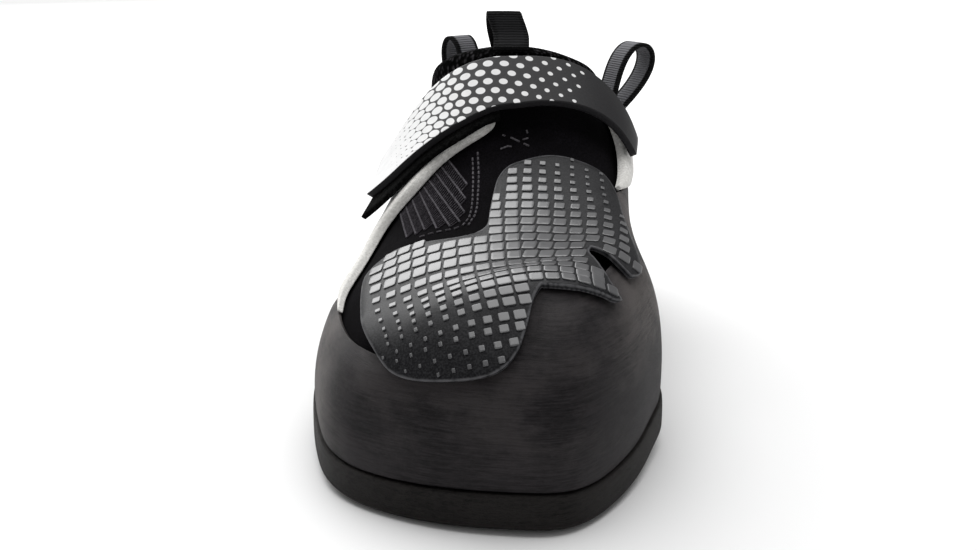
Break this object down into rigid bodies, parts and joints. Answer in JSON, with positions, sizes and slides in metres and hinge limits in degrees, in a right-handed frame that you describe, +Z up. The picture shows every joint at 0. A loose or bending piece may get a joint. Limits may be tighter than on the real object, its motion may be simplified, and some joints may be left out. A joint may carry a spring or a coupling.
{
  "type": "climbing shoe",
  "caption": "Right climbing shoe: soft bootee with a tall rubber toe, printed toe patch, one wide dotted strap, pull tab and heel loops",
  "frame": {"origin": "on the floor, in the middle of the forefoot's flat spot", "axes": "+Z up, toe to -Y, heel to +Y, +X to the big toe's side"},
  "size_m": [0.0975, 0.2424, 0.1045],
  "materials": {
    "outsole": "matte black rubber, ground edge",
    "insole": "black textile board",
    "upper": "black microfibre and knit",
    "toe_rand": "matte charcoal rubber, scuffed",
    "heel_rand": "matte charcoal rubber",
    "toe_patch": "charcoal rubber with raised glossy grey cells",
    "quarter_lateral": "white microfibre, cut edge",
    "quarter_medial": "white microfibre, cut edge",
    "cuff": "black knit binding",
    "strap": "black synthetic leather printed with white dots",
    "strap_hook_pad": "black hook tape",
    "tongue_pull_tab": "black woven webbing",
    "heel_loop_lateral": "black and grey woven webbing",
    "heel_loop_medial": "black and grey woven webbing"
  },
  "bodies": {
    "root": {"outsole": "outsole", "insole": "insole", "upper": "upper", "toe_rand": "toe_rand", "heel_rand": "heel_rand", "toe_patch": "toe_patch", "quarter_lateral": "quarter_lateral", "quarter_medial": "quarter_medial", "cuff": "cuff", "strap": "strap", "strap_hook_pad": "strap_hook_pad", "tongue_pull_tab": "tongue_pull_tab", "heel_loop_lateral": "heel_loop_lateral", "heel_loop_medial": "heel_loop_medial"}
  },
  "joints": []
}
